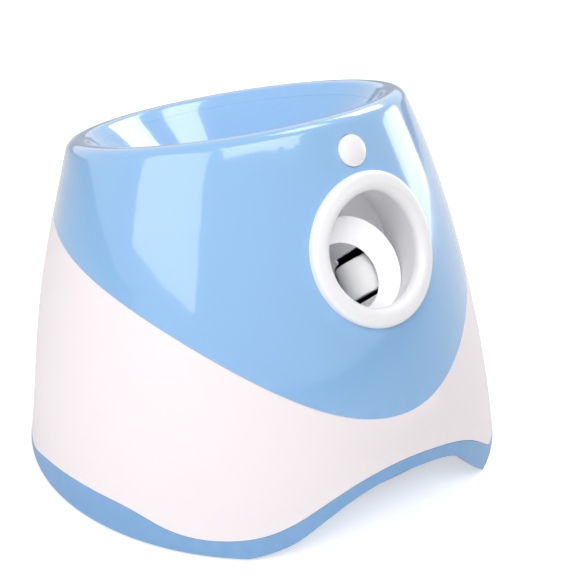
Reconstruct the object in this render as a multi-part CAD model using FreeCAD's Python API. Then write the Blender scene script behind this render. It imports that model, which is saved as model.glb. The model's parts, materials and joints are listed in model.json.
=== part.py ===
import FreeCAD, Part
import math
import os

# Automatic dog ball launcher, millimetres.  +Z up, front of the launcher towards -Y,
# origin on the ground under the middle of the base.
V = FreeCAD.Vector
X_AXIS, Y_AXIS, Z_AXIS = V(1, 0, 0), V(0, 1, 0), V(0, 0, 1)

# ---------------------------------------------------------------- housing shape
# Oval cross-sections from the ground (0) to the rim (1): half width, half depth, middle in Y
SECTION_AT = (0.0, 0.12, 0.45, 0.75, 1.0)
HALF_WIDTH = (146.0, 143.0, 131.0, 116.0, 99.0)
HALF_DEPTH = (148.0, 143.5, 133.0, 116.0, 98.0)
MIDDLE_Y = (0.0, 0.5, 8.5, 16.0, 25.0)
RIM_HEIGHT = 201.0          # rim height at its middle
RIM_TILT = 15.0             # degrees, front high and back low
LOFT_STEPS = 7
RING_POINTS = 16
WALL = 3.0                  # housing wall
RIM_WIDTH = 9.1             # rim, from its outside to the hopper's wall drawn up to HOPPER_RISE
RIM_DEPTH = 7.0             # height of the rolled rim
RIM_OUTER_ROUND = 7.5
RIM_INNER_ROUND = 5.5
HOPPER_RISE = 2.0           # the hopper's wall is drawn this far over the rim's plane
HOPPER_GAP = 0.05           # between the rim and the hopper under it
JOINT_GAP = 0.3             # visible gap between housing pieces
SEAT_GAP = 0.2              # gap between fitted pieces of one body

# Parting line between the blue upper and the white lower housing, side view (y, z)
SEAM = ((-165.0, 24.0), (-133.0, 71.8), (-104.0, 97.8), (-64.5, 120.6), (-15.6, 136.2),
        (39.5, 145.5), (100.0, 152.0), (165.0, 156.0))
TONGUE_HEIGHT = 4.0
TONGUE_OUTSIDE = 1.6        # how deep in the wall the locating tongue starts

# Height of the blue base band by the angle from the front (degrees), negative to the left
BAND = ((-180.0, 19.0), (-146.0, 11.5), (-131.0, 6.6), (-121.0, 5.4), (-113.0, 5.8),
        (-107.5, 8.6), (-103.0, 12.4), (-95.5, 16.6), (-85.0, 19.8), (-75.4, 20.6),
        (-67.2, 19.2), (-60.0, 14.3), (-55.0, 11.8), (-49.0, 10.9), (-44.0, 11.6),
        (-39.5, 13.0), (-34.7, 16.2), (-29.0, 22.6), (-24.0, 29.6), (-14.0, 40.3),
        (0.0, 44.9), (10.0, 41.6), (16.7, 36.6), (20.8, 32.0), (24.6, 26.6), (28.9, 18.9),
        (32.6, 11.8), (35.6, 7.2), (40.0, 5.3), (47.0, 5.2), (54.0, 5.8), (61.0, 10.0),
        (68.0, 16.0), (75.4, 19.4), (85.0, 19.8), (95.5, 16.6), (103.0, 12.4), (107.5, 8.6),
        (113.0, 5.8), (121.0, 5.4), (131.0, 6.6), (146.0, 11.5))
# Outline of the base's front arch, front view (x, z)
ARCH = ((-104.0, 0.0), (-97.0, 0.9), (-89.0, 3.2), (-78.0, 7.6), (-70.5, 11.6), (-62.0, 17.6),
        (-53.0, 23.6), (-43.8, 28.8), (-34.9, 32.7), (-25.8, 35.5), (-16.0, 37.3), (-2.0, 37.8),
        (12.0, 36.6), (24.0, 34.1), (31.0, 31.8), (36.6, 29.0), (41.4, 25.3), (45.9, 20.9),
        (50.8, 16.0), (56.1, 11.4), (61.0, 7.4), (66.0, 3.6), (71.0, 0.0))
ARCH_DEPTH = 40.0           # how far the arch runs under the launcher
FRONT_HEIGHT = 38.5         # where the front of the launcher is measured
SKIRT_BOTTOM = 1.5          # the base's edge over the ground
FLOOR_BOTTOM = 5.0          # underside of the base's floor
FLOOR_THICK = 3.0

# ---------------------------------------------------------------- launch port and barrel
PORT_HEIGHT = 160.5         # middle of the bezel on the front of the housing
PORT_PITCH = 22.0           # how far the bezel looks up, degrees
PORT_OVAL = 0.945           # width of the port's rings over their height
BEZEL_RADIUS = 43.0
OPENING_RADIUS = 32.0
BEZEL_PROUD = 5.0
BEZEL_OUTER_ROUND = 3.6
BEZEL_INNER_ROUND = 4.4
OPENING_INSET = 5.0         # the barrel's aim point behind the housing's front
SLEEVE_WALL = 2.2
SLEEVE_UNDERCUT = 5.0       # the recess is this much wider than the opening
LIP_DEPTH = 2.0             # inner edge of the bezel, behind the housing's face
SLEEVE_DEPTH = 36.0
SLEEVE_FLOOR = 2.0
SLEEVE_HOLE_GAP = 0.6
RETAINER_WIDTH = 6.0
RETAINER_THICK = 3.0
BARREL_PITCH = 41.0         # launch angle over the horizontal, degrees
MOUTH_RECESS = 21.0         # barrel mouth behind the aim point
BARREL_DROP = 5.5           # barrel axis under the aim point
BORE = 20.6                 # bore radius, for a 40 mm ball
BARREL_WALL = 2.4
BALL_RADIUS = 20.0
COLLAR_RADIUS = 30.0
COLLAR_LIFT = 2.8           # the flared mouth sits higher than the bore
COLLAR_LIP = 0.8
FLARE_LENGTH = 10.6
COLLAR_SOCKET = 3.0
COLLAR_RIM = 6.0
COLLAR_WALL = 2.2
BREECH_END = 104.0          # rear end of the barrel, from its mouth
FLANGE_THICK = 3.0
FLANGE_WIDTH = 6.5

# ---------------------------------------------------------------- flywheels
WHEEL_AT = 36.0             # from the mouth, along the barrel
WHEEL_RADIUS = 27.0
WHEEL_WIDTH = 22.0
WHEEL_GAP = 35.0            # between the two treads
TYRE_THICK = 5.0
TYRE_ROUND = 1.2
HUB_RIM = 3.5
HUB_HOLE = 2.8
HUB_HOLES = 6
HUB_WEB = 6.0
HUB_BOSS = 6.0
WINDOW_SLIT = 3.8           # gap beside the tread
WINDOW_GAP = 0.9            # gap before and behind the tread
RUNNING_GAP = 0.05          # radial clearance of a shaft in its hole
SHAFT_RADIUS = 1.5
MOTOR_RADIUS = 13.8
MOTOR_LENGTH = 38.0
MOTOR_BOSS = 5.0
MOTOR_BOSS_HEIGHT = 2.0
MOTOR_FLAT = 11.8
MOTOR_CAP = 3.0
BLADE_HALF = 1.5            # half the width of a motor's terminal blade
BLADE_THICK = 0.8
MOTOR_SCREW_LENGTH = 5.0
MOTOR_SCREW_SPAN = 16.0
EAR_UNDER_WHEEL = 3.5
EAR_THICK = 2.5
EAR_HALF_LENGTH = 17.0
EAR_MARGIN = 3.0
RIB_HEIGHT = 5.0

# ---------------------------------------------------------------- feeder
BALL_AT = 74.0              # middle of the waiting ball, from the mouth
CHUTE_RADIUS = 22.0
CHUTE_WALL = 2.3
THROAT_STEP = 0.5           # the funnel's foot is this much wider than the throat
CHUTE_FOOT = 8.0            # lower end of the chute over the barrel's axis
THROAT_AT = 48.0            # funnel's throat over the barrel's axis
THROAT_FLANGE = 6.5
THROAT_FLANGE_THICK = 2.5
FUNNEL_WALL = 2.5
PUSHER_STROKE = 28.0
PUSHER_RADIUS = 18.4
PUSHER_THICK = 7.0
PUSHER_CHAMFER = 1.5
SENSOR_AT = 28.0
SENSOR_SIDE = 8.0
CAP_THICK = 3.0
CAP_BOSS = 10.0
CAP_BOSS_SIDE = 13.0
RACK_SIDE = 9.0
RACK_GAP = 0.35
GEAR_MODULE = 1.0
PINION_TEETH = 18
PINION_WIDTH = 8.0
PINION_CLEAR = 0.12         # extra centre distance
FLANK_POINTS = 5
BACKLASH = 0.3
PRESSURE_ANGLE = 20.0
PINION_BEHIND_CAP = 13.0
GEARBOX_RADIUS = 12.0
GEARBOX_LENGTH = 19.0
GEARBOX_BOSS = 4.0
GEAR_SCREW_LENGTH = 6.0
FEED_MOTOR_BOSS = 4.0
BRACKET_FOOT = 22.0
FEED_MOTOR_RADIUS = 10.0
FEED_MOTOR_LENGTH = 25.0
BRACKET_THICK = 2.5
BRACKET_GAP = 3.0           # from the rack's side to the bracket
BRACKET_HALF_LENGTH = 16.0
GEAR_SCREW_SPAN = 17.0
CRADLE_AT = (60.0, 92.0)   # saddles of the cradle, along the barrel
CRADLE_THICK = 4.0
CRADLE_HALF_WIDTH = 16.0
CRADLE_BASE_HALF = 27.0
CRADLE_BASE_THICK = 2.5
CRADLE_GRIP = 9.0

# ---------------------------------------------------------------- button
BUTTON_HEIGHT = 210.3
BUTTON_PITCH = 27.0
BUTTON_RADIUS = 8.75
BUTTON_GAP = 0.3
BUTTON_PROUD = 1.0
BUTTON_DOME = 2.0
BUTTON_TRAVEL = 2.0
BUTTON_FLANGE = 1.5
BUTTON_FLANGE_THICK = 1.2
BUTTON_FLANGE_AT = 4.4      # below the housing's outer face
GUIDE_WALL = 2.0
GUIDE_DEPTH = 14.0
BUTTON_BOARD_THICK = 1.6
SWITCH_SIDE = 6.0
SWITCH_HEIGHT = 3.6
PLUNGER_RADIUS = 1.7
PLUNGER_HEIGHT = 0.5
STEM_RADIUS = 2.2
SPRING_RADIUS = 5.2
SPRING_WIRE = 0.35
SPRING_TURNS = 4

# ---------------------------------------------------------------- power and base
CELL_RADIUS = 13.1
CELL_LENGTH = 50.0
CELL_GAP = 0.8
WELL_MIDDLE_Y = 93.0
WELL_WALL = 2.5
WELL_CLEAR = 1.2
CONTACT_THICK = 0.8
CONTACT_HALF = 8.0
CONTACT_SEAT = 0.1
CONTACT_PAD = 0.8
CELL_NUB = 1.5
CELL_TIP = 3.0
DOOR_THICK = 1.9
DOOR_LAP = 3.0
DOOR_GAP = 0.3
RAIL_LIP = 1.0
RAIL_WIDTH = 2.0
DOOR_RIBS = 4
DOOR_RIB_STEP = 4.0
DOOR_RIB_HALF = 14.0
DOOR_RIB_HEIGHT = 0.8
FOOT_RADIUS = 9.0
FOOT_AT = (92.0, 84.0)
FOOT_CHAMFER = 1.2
SCREW_RADIUS = 1.5
CASE_SCREW_Y = (-52.0, 40.0)
SCREW_HEAD = 2.8
SCREW_HEAD_THICK = 1.8
CROSS_HALF = 0.4            # half the width of the driver's slots
CROSS_REACH = 1.9
CROSS_DEPTH = 0.8
SCREW_LENGTH = 12.0
BOSS_RADIUS = 5.0
BOSS_HEIGHT = 40.0
SOCKET_HEIGHT = 54.0        # middle of the rocker and the inlet on the back
SOCKET_OFFSET = 24.0
ROCKER_HALF_WIDTH = 6.5
ROCKER_HALF_HEIGHT = 9.5
ROCKER_WALL = 1.3
ROCKER_DEPTH = 18.0
ROCKER_FLANGE = 1.8
ROCKER_PIVOT = 1.2
ROCKER_ANGLE = 12.0
ROCKER_PIVOT_DEPTH = 2.6
ROCKER_ROOM = 9.0
ROCKER_RISE = 1.6           # how far the rocker's ends stand over its middle
ROCKER_FOOT = 2.0
ROCKER_TAPER = 0.8
ROCKER_SWING_ROOM = 0.4
SOCKET_INSET = 1.4
SOCKET_PROUD = 0.6
INLET_RADIUS = 5.5
INLET_PIN = 1.0
INLET_FLANGE = 2.5
INLET_BORE = 3.2
INLET_DEPTH = 15.0
INLET_WALL = 3.0            # closed rear end of the inlet
NUT_THICK = 5.0
SPADE_HALF = 2.4            # half the width of the rocker's terminal spades
SPADE_LENGTH = 6.0
BOARD_SIZE = (66.0, 78.0, 1.6)
BOARD_MIDDLE = (-84.0, 14.0)
CONTROL_CHIP = (4.0, 0.0, 14.0, 14.0, 1.6)      # place on the board, width, depth, height
DRIVER_CHIPS = ((20.0, 12.0, 10.0, 9.0, 2.2), (20.0, -12.0, 10.0, 9.0, 2.2))
CONNECTORS = ((-14.0, 32.0, 10.0, 7.0, 8.0), (0.0, 32.0, 10.0, 7.0, 8.0),
              (14.0, 32.0, 10.0, 7.0, 8.0), (-8.0, -33.0, 20.0, 6.0, 7.0))
CAPACITORS = ((-18.0, 6.0, 5.0, 16.0), (-18.0, -8.0, 5.0, 16.0),
              (-6.0, 16.0, 3.2, 9.0))           # place on the board, radius, height
STANDOFF = 8.0
STANDOFF_RADIUS = 3.6
SPEAKER_RADIUS = 20.0
SPEAKER_WALL = 3.0
SPEAKER_FRAME = 5.0
SPEAKER_MAGNET = 12.0
SPEAKER_MAGNET_THICK = 8.0
SPEAKER_HOLES = 8
SPEAKER_HOLE = 1.5
SPEAKER_AT = (88.0, 14.0)

DEG = math.pi / 180.0
SLOPE = math.tan(RIM_TILT * DEG)
FLOOR_TOP = FLOOR_BOTTOM + FLOOR_THICK
GUIDE_RADIUS = BUTTON_RADIUS + BUTTON_FLANGE + BUTTON_GAP + GUIDE_WALL
ARCH_TOP = max(z for _, z in ARCH)
BAND_REACH = (0.5, 1.15)    # the band's cutting ring, as shares of the base's size


# ---------------------------------------------------------------- small helpers
def fit_at(values, t):
    """Smooth value between the housing's sections (one polynomial through all of them)."""
    total = 0.0
    for i, at_i in enumerate(SECTION_AT):
        share = 1.0
        for j, at_j in enumerate(SECTION_AT):
            if j != i:
                share *= (t - at_j) / (at_i - at_j)
        total += share * values[i]
    return total


def ring(middle, half_x, half_y, slope):
    """Closed oval: half_x and half_y as seen from above, on a plane that falls to the back."""
    points = []
    for k in range(RING_POINTS):
        turn = 2 * math.pi * k / RING_POINTS
        points.append(middle + V(half_x * math.sin(turn), -half_y * math.cos(turn),
                                 slope * half_y * math.cos(turn)))
    curve = Part.BSplineCurve()
    curve.interpolate(points, True)
    return Part.Wire([curve.toShape()])


def housing_ring(t, inset, drop=0.0):
    """Oval of the housing at height share t, moved in by inset and down by drop."""
    return ring(V(0, fit_at(MIDDLE_Y, t), t * RIM_HEIGHT - drop),
                fit_at(HALF_WIDTH, t) - inset, fit_at(HALF_DEPTH, t) - inset, t * SLOPE)


def housing_solid(inset, top=1.0):
    """Filled housing, moved in by inset all round, up to height share top."""
    steps = [top * k / (LOFT_STEPS - 1) for k in range(LOFT_STEPS)]
    return Part.makeLoft([housing_ring(t, inset) for t in steps], True, False)


def share_at(y_of_share, z):
    """Height share at which the housing's face reaches height z, by halving."""
    low, high = 0.0, 1.2
    for _ in range(50):
        middle = (low + high) / 2
        y = y_of_share(middle)
        reached = middle * (RIM_HEIGHT - SLOPE * (y - fit_at(MIDDLE_Y, middle)))
        low, high = (middle, high) if reached < z else (low, middle)
    return low


def front_edge(t):
    return fit_at(MIDDLE_Y, t) - fit_at(HALF_DEPTH, t)


def back_edge(t):
    return fit_at(MIDDLE_Y, t) + fit_at(HALF_DEPTH, t)


def front_y(z):
    """Y of the housing's outer face at the front, in the middle plane."""
    return front_edge(share_at(front_edge, z))


def back_y(z):
    """Y of the housing's outer face at the back, in the middle plane."""
    return back_edge(share_at(back_edge, z))


def half_width_at(y, z):
    """Half width of the housing's outer face at (y, z)."""
    t = share_at(lambda share: y, z)
    across = (y - fit_at(MIDDLE_Y, t)) / fit_at(HALF_DEPTH, t)
    return fit_at(HALF_WIDTH, t) * math.sqrt(max(0.0, 1 - across * across))


def box(x0, y0, z0, x1, y1, z1):
    return Part.makeBox(x1 - x0, y1 - y0, z1 - z0, V(x0, y0, z0))


def rod(radius, z0, z1, x=0.0, y=0.0):
    """Upright cylinder from z0 to z1."""
    return Part.makeCylinder(radius, z1 - z0, V(x, y, z0), Z_AXIS)


def tube(inner, outer, z0, z1, x=0.0, y=0.0):
    return rod(outer, z0, z1, x, y).cut(rod(inner, z0 - 1, z1 + 1, x, y))


def fuse(first, *others):
    for other in others:
        first = first.fuse(other)
    return first.removeSplitter()


def cut(first, *others):
    for other in others:
        first = first.cut(other)
    return first


def tilted(shape, origin, pitch):
    """From a local frame (+Z outwards, +Y up and back) to a place that looks up by pitch."""
    shape = shape.copy()
    shape.rotate(V(0, 0, 0), X_AXIS, 90.0 - pitch)
    shape.translate(origin)
    return shape


def outwards(pitch):
    return V(0, -math.cos(pitch * DEG), math.sin(pitch * DEG))


def mirrored(shape):
    return shape.mirror(V(0, 0, 0), X_AXIS)


def on_plane_edges(shape, origin, normal):
    """Edges that lie on a plane."""
    found = []
    for edge in shape.Edges:
        points = edge.discretize(7)
        if all(abs((p - origin).dot(normal)) < 0.01 for p in points):
            found.append(edge)
    return found


def pan_screw(length):
    """Screw along -Z with its head's underside at z = 0."""
    head = rod(SCREW_HEAD, 0, SCREW_HEAD_THICK)
    half, low, high = CROSS_HALF, SCREW_HEAD_THICK - CROSS_DEPTH, SCREW_HEAD_THICK + 1
    slot = box(-CROSS_REACH, -half, low, CROSS_REACH, half, high)
    slot_across = box(-half, -CROSS_REACH, low, half, CROSS_REACH, high)
    return fuse(head, rod(SCREW_RADIUS, -length, 0)).cut(slot).cut(slot_across)


NODES = {}


def keep(name, shape):
    NODES[name] = shape


# ---------------------------------------------------------------- places worked out once
PORT = V(0, front_y(PORT_HEIGHT), PORT_HEIGHT)
AIM = PORT - outwards(PORT_PITCH) * OPENING_INSET
UPWARDS = V(0, math.sin(BARREL_PITCH * DEG), math.cos(BARREL_PITCH * DEG))
MOUTH = AIM - outwards(BARREL_PITCH) * MOUTH_RECESS - UPWARDS * BARREL_DROP
BARREL_OUT = BORE + BARREL_WALL
WHEEL_X = WHEEL_GAP / 2 + WHEEL_RADIUS
PUSHER_AT = BALL_AT + BALL_RADIUS
CAP_AT = BREECH_END
PINION_AT = CAP_AT + CAP_THICK + CAP_BOSS + PINION_BEHIND_CAP
PITCH_RADIUS = GEAR_MODULE * PINION_TEETH / 2
RACK_PITCH_LINE = RACK_SIDE / 2 - GEAR_MODULE
PINION_UP = RACK_PITCH_LINE + PITCH_RADIUS + PINION_CLEAR
RACK_TEETH_TO = PINION_AT + PUSHER_STROKE + 2 * GEAR_MODULE * math.pi
RACK_END = RACK_TEETH_TO + GEAR_MODULE
BUTTON = V(0, front_y(BUTTON_HEIGHT), BUTTON_HEIGHT)
EAR_TOP = -WHEEL_WIDTH / 2 - EAR_UNDER_WHEEL
WELL_HALF_X = CELL_LENGTH + CELL_GAP / 2 + CONTACT_THICK + WELL_CLEAR
WELL_HALF_Y = 2 * CELL_RADIUS + CELL_GAP / 2 + WELL_CLEAR
WELL_TOP = FLOOR_BOTTOM + 2 * CELL_RADIUS + WELL_CLEAR
DOOR_HALF_X = WELL_HALF_X + DOOR_LAP
DOOR_FRONT = WELL_MIDDLE_Y - WELL_HALF_Y - DOOR_LAP
DOOR_BACK = WELL_MIDDLE_Y + WELL_HALF_Y + DOOR_LAP


def barrel_place(shape):
    """Local barrel frame: +Z out of the mouth, +Y across it upwards, origin at the mouth."""
    return tilted(shape, MOUTH, BARREL_PITCH)


def barrel_point(x, up, behind):
    return MOUTH + V(x, 0, 0) + UPWARDS * up - outwards(BARREL_PITCH) * behind


def across_rod(radius, up0, up1, x, behind):
    """Cylinder across the barrel, along its local +Y, in the local frame."""
    return Part.makeCylinder(radius, up1 - up0, V(x, up0, -behind), Y_AXIS)


def port_place(shape):
    return tilted(shape, PORT, PORT_PITCH)


def oval_rod(radius, z0, z1):
    """The port's slightly narrow round: radius upwards, PORT_OVAL of it sideways."""
    curve = Part.Ellipse(V(0, radius, z0), V(-radius * PORT_OVAL, 0, z0), V(0, 0, z0))
    return Part.Face(Part.Wire([curve.toShape()])).extrude(V(0, 0, z1 - z0))


def oval_tube(inner, outer, z0, z1):
    return oval_rod(outer, z0, z1).cut(oval_rod(inner, z0 - 1, z1 + 1))


def button_place(shape):
    return tilted(shape, BUTTON, BUTTON_PITCH)


# ---------------------------------------------------------------- housing
def side_region(lift, over):
    """Everything over (or under) the parting line lifted by lift, across the whole width."""
    wide = max(HALF_WIDTH) + 20
    far = 2 * RIM_HEIGHT if over else -RIM_HEIGHT
    curve = Part.BSplineCurve()
    curve.interpolate([V(-wide, y, z + lift) for y, z in SEAM])
    start = V(-wide, SEAM[0][0], SEAM[0][1] + lift)
    end = V(-wide, SEAM[-1][0], SEAM[-1][1] + lift)
    start_far = V(-wide, start.y, far)
    end_far = V(-wide, end.y, far)
    wire = Part.Wire([curve.toShape(), Part.makeLine(end, end_far),
                      Part.makeLine(end_far, start_far), Part.makeLine(start_far, start)])
    return Part.Face(wire).extrude(V(2 * wide, 0, 0))


def band_curve(scale, lift):
    """Closed curve round the base at the band's height."""
    points = [V(scale * HALF_WIDTH[0] * math.sin(a * DEG), -scale * HALF_DEPTH[0] * math.cos(a * DEG),
                h + lift) for a, h in BAND]
    curve = Part.BSplineCurve()
    curve.interpolate(points, True)
    return curve.toShape()


def band_region(lift):
    """Everything under the band's top line, as a ring wide enough for the wall."""
    face = Part.makeRuledSurface(band_curve(BAND_REACH[1], lift), band_curve(BAND_REACH[0], lift))
    return face.extrude(V(0, 0, -2 * ARCH_TOP))


def arch_curve(grow):
    """Front view outline of the arch, grown by a wall, as a closed face at y = 0."""
    middle = (ARCH[0][0] + ARCH[-1][0]) / 2
    half = (ARCH[-1][0] - ARCH[0][0]) / 2
    points = [V(middle + (x - middle) * (half + grow) / half, 0, z * (ARCH_TOP + grow) / ARCH_TOP)
              for x, z in ARCH]
    curve = Part.BSplineCurve()
    curve.interpolate(points)
    low = -ARCH_TOP
    corners = [points[-1], V(points[-1].x, 0, low), V(points[0].x, 0, low), points[0]]
    sides = [Part.makeLine(first, last) for first, last in zip(corners, corners[1:])]
    return Part.Face(Part.Wire([curve.toShape()] + sides))


OUTSIDE = housing_solid(0.0)
INSIDE_TOP = 1.0 - RIM_DEPTH / RIM_HEIGHT
INSIDE = housing_solid(WALL, INSIDE_TOP)
FRONT_BASE_Y = front_y(FLOOR_TOP)
ARCH_BACK = FRONT_BASE_Y + ARCH_DEPTH
RIM_NORMAL = V(0, math.sin(RIM_TILT * DEG), math.cos(RIM_TILT * DEG))
RIM_POINT = V(0, MIDDLE_Y[-1], RIM_HEIGHT)
FRAME_Y = (front_y(FRONT_HEIGHT) + back_y(SKIRT_BOTTOM)) / 2    # the origin stands under here


def make_housing_wall():
    """Whole outer wall with the rolled rim, before it is parted."""
    body = OUTSIDE.cut(funnel_room(0.0))
    edges = on_plane_edges(body, RIM_POINT, RIM_NORMAL)
    edges.sort(key=lambda e: e.BoundBox.XLength)
    body = body.makeFillet(RIM_INNER_ROUND, [edges[0]])
    edges = on_plane_edges(body, RIM_POINT, RIM_NORMAL)
    edges.sort(key=lambda e: e.BoundBox.XLength)
    body = body.makeFillet(RIM_OUTER_ROUND, [edges[-1]])
    return body.cut(INSIDE)


def make_upper_shell(wall):
    groove = side_region(TONGUE_HEIGHT + JOINT_GAP, False).common(
        housing_solid(TONGUE_OUTSIDE - SEAT_GAP))
    region = side_region(JOINT_GAP / 2, True).cut(groove)
    shell = wall.common(region)
    hole = port_place(oval_rod(OPENING_RADIUS + SLEEVE_UNDERCUT + SLEEVE_WALL + SLEEVE_HOLE_GAP,
                               -SLEEVE_DEPTH, SLEEVE_DEPTH))
    button_hole = button_place(rod(BUTTON_RADIUS + BUTTON_GAP, -GUIDE_DEPTH, GUIDE_DEPTH))
    keep("upper_shell", cut(shell, hole, button_hole))


def screw_places():
    """Where the case screws go up from the floor, near the wall."""
    places = []
    for y in CASE_SCREW_Y:
        x = half_width_at(y, FLOOR_TOP + BOSS_HEIGHT) - WALL - BOSS_RADIUS + 1.0
        places += [(x, y), (-x, y)]
    return places


def make_lower_shell(wall):
    tongue = side_region(TONGUE_HEIGHT, False).common(housing_solid(TONGUE_OUTSIDE))
    region = fuse(side_region(-JOINT_GAP / 2, False), tongue)
    shell = wall.common(region).cut(band_region(JOINT_GAP / 2))
    trim = housing_solid(WALL / 2)
    for x, y in screw_places():
        boss = rod(BOSS_RADIUS, FLOOR_TOP + JOINT_GAP, FLOOR_TOP + BOSS_HEIGHT, x, y).common(trim)
        pilot = rod(SCREW_RADIUS + RUNNING_GAP, 0, FLOOR_BOTTOM + SCREW_LENGTH + 1, x, y)
        shell = shell.fuse(boss).cut(pilot)
    rocker_hole = box(-ROCKER_HALF_WIDTH - SEAT_GAP, -ROCKER_HALF_HEIGHT - SEAT_GAP, -ROCKER_DEPTH,
                      ROCKER_HALF_WIDTH + SEAT_GAP, ROCKER_HALF_HEIGHT + SEAT_GAP, ROCKER_DEPTH)
    rocker_pad = box(-ROCKER_HALF_WIDTH - ROCKER_FLANGE - SEAT_GAP,
                     -ROCKER_HALF_HEIGHT - ROCKER_FLANGE - SEAT_GAP, 0,
                     ROCKER_HALF_WIDTH + ROCKER_FLANGE + SEAT_GAP,
                     ROCKER_HALF_HEIGHT + ROCKER_FLANGE + SEAT_GAP, ROCKER_DEPTH)
    inlet_hole = rod(INLET_RADIUS + SEAT_GAP, -ROCKER_DEPTH, ROCKER_DEPTH)
    inlet_pad = rod(INLET_RADIUS + INLET_FLANGE + SEAT_GAP, 0, ROCKER_DEPTH)
    for shape, x in ((rocker_hole, SOCKET_OFFSET), (rocker_pad, SOCKET_OFFSET),
                     (inlet_hole, -SOCKET_OFFSET), (inlet_pad, -SOCKET_OFFSET)):
        shell = shell.cut(back_place(shape, x))
    keep("lower_shell", shell)


def make_base_tray():
    low = box(-2 * HALF_WIDTH[0], -2 * HALF_DEPTH[0], SKIRT_BOTTOM,
              2 * HALF_WIDTH[0], 2 * HALF_DEPTH[0], 3 * ARCH_TOP)
    wall = OUTSIDE.cut(INSIDE).common(low)
    over_band = housing_solid(-BAND_REACH[0]).cut(housing_solid(WALL + SEAT_GAP)).common(low)
    over_band = over_band.cut(band_region(-JOINT_GAP / 2))
    floor_room = box(-HALF_WIDTH[0], -HALF_DEPTH[0], FLOOR_BOTTOM, HALF_WIDTH[0], HALF_DEPTH[0],
                     FLOOR_TOP)
    plate = housing_solid(WALL / 2).common(floor_room)
    hood = arch_region(WALL, ARCH_BACK + WALL).common(housing_solid(WALL / 2)).common(
        box(-HALF_WIDTH[0], -HALF_DEPTH[0], FLOOR_BOTTOM, HALF_WIDTH[0], HALF_DEPTH[0],
            2 * ARCH_TOP))
    well = box(-WELL_HALF_X - WELL_WALL, WELL_MIDDLE_Y - WELL_HALF_Y - WELL_WALL, FLOOR_BOTTOM,
               WELL_HALF_X + WELL_WALL, WELL_MIDDLE_Y + WELL_HALF_Y + WELL_WALL,
               WELL_TOP + WELL_WALL)
    tray = fuse(wall, plate, hood, well).cut(over_band)
    for side in (-1, 1):
        web = box(DOOR_HALF_X + DOOR_GAP, DOOR_FRONT, SKIRT_BOTTOM,
                  DOOR_HALF_X + DOOR_GAP + RAIL_WIDTH, DOOR_BACK, FLOOR_BOTTOM + 1)
        lip = box(DOOR_HALF_X - RAIL_WIDTH, DOOR_FRONT, SKIRT_BOTTOM,
                  DOOR_HALF_X + DOOR_GAP + RAIL_WIDTH, DOOR_BACK, SKIRT_BOTTOM + RAIL_LIP)
        rail = fuse(web, lip)
        tray = tray.fuse(rail if side > 0 else mirrored(rail))
    for x, y in board_corners():
        tray = tray.fuse(rod(STANDOFF_RADIUS, FLOOR_TOP - 1, FLOOR_TOP + STANDOFF, x, y))
    hollow = box(-WELL_HALF_X, WELL_MIDDLE_Y - WELL_HALF_Y, -1,
                 WELL_HALF_X, WELL_MIDDLE_Y + WELL_HALF_Y, WELL_TOP)
    rail_channel = box(-DOOR_HALF_X - DOOR_GAP, DOOR_FRONT, SKIRT_BOTTOM + RAIL_LIP,
                       DOOR_HALF_X + DOOR_GAP, DOOR_BACK, FLOOR_BOTTOM)
    ground = box(-200, -200, -20, 200, 200, SKIRT_BOTTOM)
    tray = cut(tray, arch_region(0.0, ARCH_BACK), hollow, rail_channel, ground)
    for x, y in screw_places() + cradle_screw_places() + bracket_screw_places():
        tray = tray.cut(rod(SCREW_RADIUS + RUNNING_GAP, 0, FLOOR_TOP + 1, x, y))
    for x, y in board_corners():
        tray = tray.cut(rod(SCREW_RADIUS + RUNNING_GAP, FLOOR_TOP + 1, FLOOR_TOP + STANDOFF + 1, x, y))
    for k in range(SPEAKER_HOLES):
        turn = 2 * math.pi * k / SPEAKER_HOLES
        tray = tray.cut(rod(SPEAKER_HOLE, 0, FLOOR_TOP + 1,
                            SPEAKER_AT[0] + SPEAKER_RADIUS / 2 * math.cos(turn),
                            SPEAKER_AT[1] + SPEAKER_RADIUS / 2 * math.sin(turn)))
    keep("base_tray", tray)


def arch_region(grow, back):
    face = arch_curve(grow)
    face.translate(V(0, -HALF_DEPTH[0] - 20, 0))
    return face.extrude(V(0, back + HALF_DEPTH[0] + 20, 0))


def make_feet_and_screws():
    feet = []
    for x in (-FOOT_AT[0], FOOT_AT[0]):
        for y in (-FOOT_AT[1], FOOT_AT[1]):
            foot = rod(FOOT_RADIUS, 0, FLOOR_BOTTOM, x, y)
            feet.append(foot.makeChamfer(FOOT_CHAMFER, on_plane_edges(foot, V(0, 0, 0), Z_AXIS)))
    keep("rubber_feet", Part.makeCompound(feet))
    screws = []
    for x, y in screw_places():
        screw = pan_screw(SCREW_LENGTH)
        screw.rotate(V(0, 0, 0), X_AXIS, 180)
        screw.translate(V(x, y, FLOOR_BOTTOM))
        screws.append(screw)
    keep("case_screws", Part.makeCompound(screws))


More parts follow.
